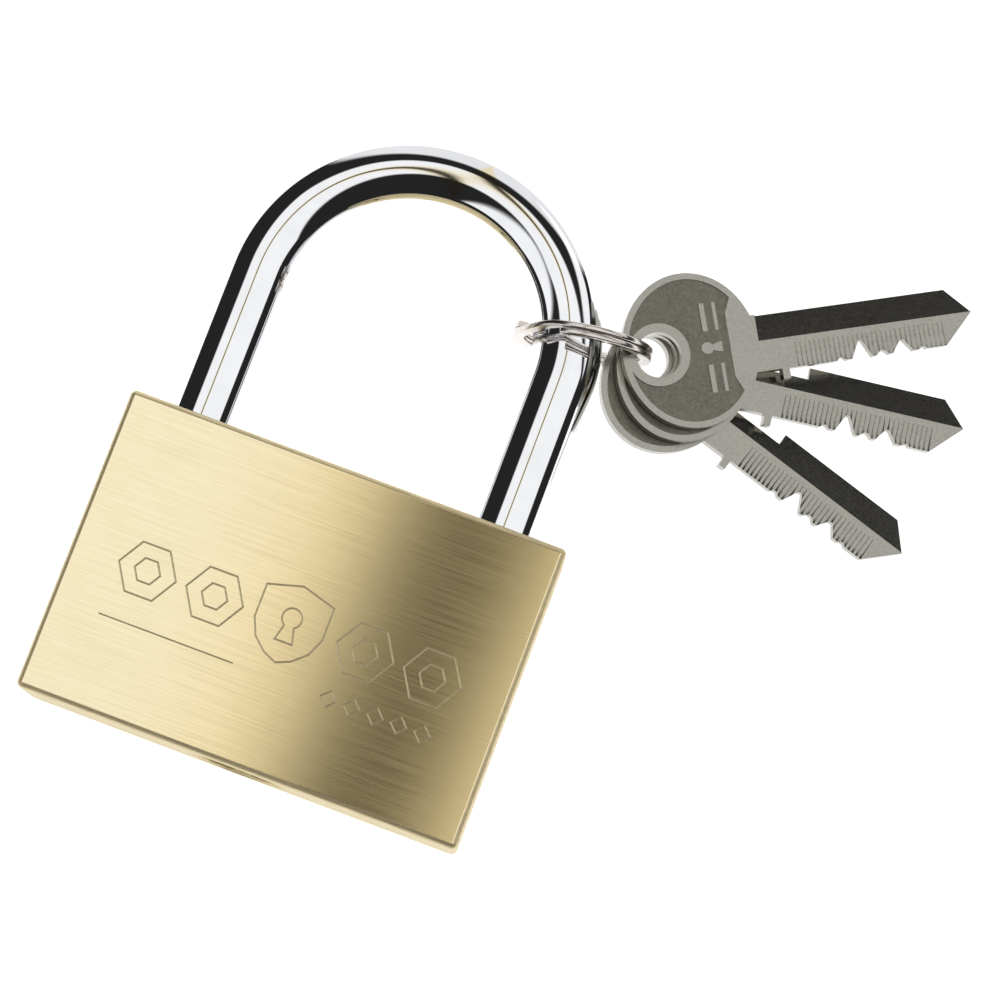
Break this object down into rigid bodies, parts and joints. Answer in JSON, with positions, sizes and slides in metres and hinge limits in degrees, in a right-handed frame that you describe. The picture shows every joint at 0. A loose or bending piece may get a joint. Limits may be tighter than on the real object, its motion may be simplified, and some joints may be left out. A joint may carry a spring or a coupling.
{
  "type": "padlock",
  "caption": "Solid brass pin-tumbler padlock with a chrome round-bar shackle, closed, lying on its back, with keys fanned out on a split ring round the shackle",
  "frame": {"origin": "centre of the body's back face, which lies on the surface", "axes": "+Z out of the front face, +Y from the keyway end towards the shackle's bow, +X towards the heel leg and the keys"},
  "size_m": [0.1035, 0.0927, 0.0186],
  "materials": {
    "brass": "satin brushed along the body's width",
    "pin_brass": "turned",
    "chrome": "polished chrome plate on hardened steel",
    "ring_nickel": "bright nickel plate on steel",
    "key_nickel": "satin nickel plate on brass",
    "steel": "machined, oiled",
    "spring_steel": "drawn wire"
  },
  "bodies": {
    "case": {"body": "brass", "shackle_pin": "steel", "plug_pin": "steel", "latch_bore_plug": "brass", "shackle_spring": "spring_steel", "driver_pin_1": "pin_brass", "driver_pin_2": "pin_brass", "driver_pin_3": "pin_brass", "driver_pin_4": "pin_brass", "driver_pin_5": "pin_brass", "pin_spring_1": "spring_steel", "pin_spring_2": "spring_steel", "pin_spring_3": "spring_steel", "pin_spring_4": "spring_steel", "pin_spring_5": "spring_steel", "chamber_plug_1": "brass", "chamber_plug_2": "brass", "chamber_plug_3": "brass", "chamber_plug_4": "brass", "chamber_plug_5": "brass"},
    "plug_and_cam": {"plug": "brass", "cam": "steel", "key_pin_1": "pin_brass", "key_pin_2": "pin_brass", "key_pin_3": "pin_brass", "key_pin_4": "pin_brass", "key_pin_5": "pin_brass"},
    "toe_latch": {"toe_bolt": "steel", "latch_spring": "spring_steel"},
    "heel_latch": {"heel_bolt": "steel"},
    "shackle_bar": {"shackle": "chrome"},
    "ring": {"split_ring": "ring_nickel"},
    "first_key": {"key_1": "key_nickel"},
    "second_key": {"key_2": "key_nickel"},
    "third_key": {"key_3": "key_nickel"}
  },
  "joints": [
    {"name": "plug_turn", "type": "hinge", "parent": "case", "child": "plug_and_cam", "pos_m": [0, -0.01975, 0.0081], "axis": [0, -1, 0], "range_deg": [-90, 0]},
    {"name": "toe_bolt_slide", "type": "slide", "parent": "case", "child": "toe_latch", "axis": [1, 0, 0], "range_m": [-0.0023, 0], "deforming": ["latch_spring"]},
    {"name": "heel_bolt_slide", "type": "slide", "parent": "case", "child": "heel_latch", "axis": [-1, 0, 0], "range_m": [-0.0023, 0]},
    {"name": "shackle_lift", "type": "slide", "parent": "case", "child": "shackle_bar", "axis": [0, 1, 0], "range_m": [0, 0.0145], "deforming": ["shackle_spring"]},
    {"name": "ring_swing", "type": "hinge", "parent": "shackle_bar", "child": "ring", "pos_m": [0.0202, 0.04785, 0.0081], "axis": [-0.2891, 0.9573, 0], "range_deg": [-70, 60]},
    {"name": "first_key_swing", "type": "hinge", "parent": "ring", "child": "first_key", "pos_m": [0.03203, 0.04949, 0.0108], "axis": [0.1204, 0.0186, 0.9925], "range_deg": [-60, 40]},
    {"name": "second_key_swing", "type": "hinge", "parent": "ring", "child": "second_key", "pos_m": [0.03147, 0.0494, 0.00865], "axis": [0.1204, 0.0186, 0.9925], "range_deg": [-35, 45]},
    {"name": "third_key_swing", "type": "hinge", "parent": "ring", "child": "third_key", "pos_m": [0.03062, 0.04927, 0.00654], "axis": [0.1204, 0.0186, 0.9925], "range_deg": [0, 60]}
  ],
  "couplings": [
    {"joint": "toe_bolt_slide", "follows": "plug_turn", "m_per_rad": 0.001464},
    {"joint": "heel_bolt_slide", "follows": "plug_turn", "m_per_rad": 0.001464}
  ]
}
